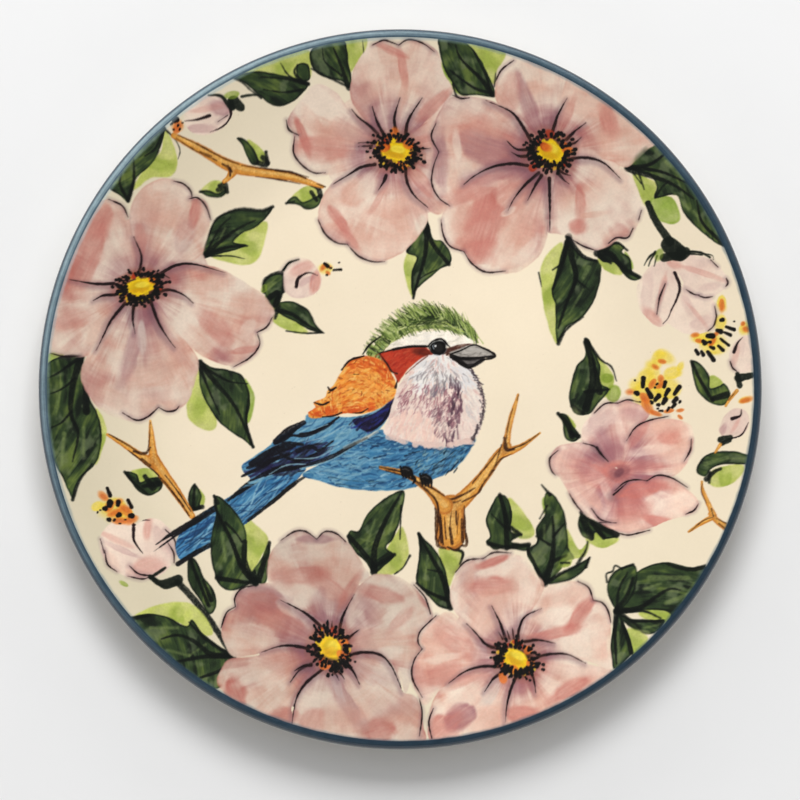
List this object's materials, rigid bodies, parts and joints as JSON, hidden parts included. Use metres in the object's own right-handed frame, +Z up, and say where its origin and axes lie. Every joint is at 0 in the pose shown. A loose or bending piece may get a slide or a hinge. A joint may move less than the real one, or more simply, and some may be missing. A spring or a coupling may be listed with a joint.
{
  "type": "decorative plate",
  "caption": "Shallow round ceramic plate on a turned foot ring, with glaze coats, a coloured rim band and a painted picture of a bird among blossoms.",
  "frame": {"origin": "centre of the foot ring's tread, on the surface the plate stands on", "axes": "+Z up out of the face, +Y to the top of the painted picture, +X to its right"},
  "size_m": [0.26, 0.26, 0.0245],
  "materials": {
    "clay": "fired clay, bare on the tread of the foot ring",
    "cream_glaze": "glossy cream glaze with faint pooling and small dark specks",
    "blue_band": "brushed blue band under gloss, darker on the lip, bleeding into the cream",
    "petal_colour": "pink and mauve washes with fine dark lines, under gloss",
    "yellow_colour": "yellow dabs ringed with dark dots, under gloss",
    "leaf_colour": "dark green strokes over yellow green washes, under gloss",
    "twig_colour": "ochre strokes with dry brown edges, under gloss",
    "wing_colour": "navy and blue feather strokes with black edges, under gloss",
    "belly_colour": "light and mid blue feather strokes, under gloss",
    "breast_colour": "white and pink mottled feather strokes, under gloss",
    "shoulder_colour": "orange feather strokes with yellow lights and dark ticks, under gloss",
    "head_colour": "hatched green crest, red cheek and grey beak, under gloss"
  },
  "bodies": {
    "root": {"clay_body": "clay", "face_glaze": "cream_glaze", "back_glaze": "cream_glaze", "foot_recess_glaze": "cream_glaze", "rim_band": "blue_band", "blossom_petals": "petal_colour", "blossom_centres": "yellow_colour", "leaves": "leaf_colour", "twigs": "twig_colour", "bird_wing_and_tail": "wing_colour", "bird_belly": "belly_colour", "bird_breast": "breast_colour", "bird_shoulder": "shoulder_colour", "bird_head": "head_colour"}
  },
  "joints": []
}
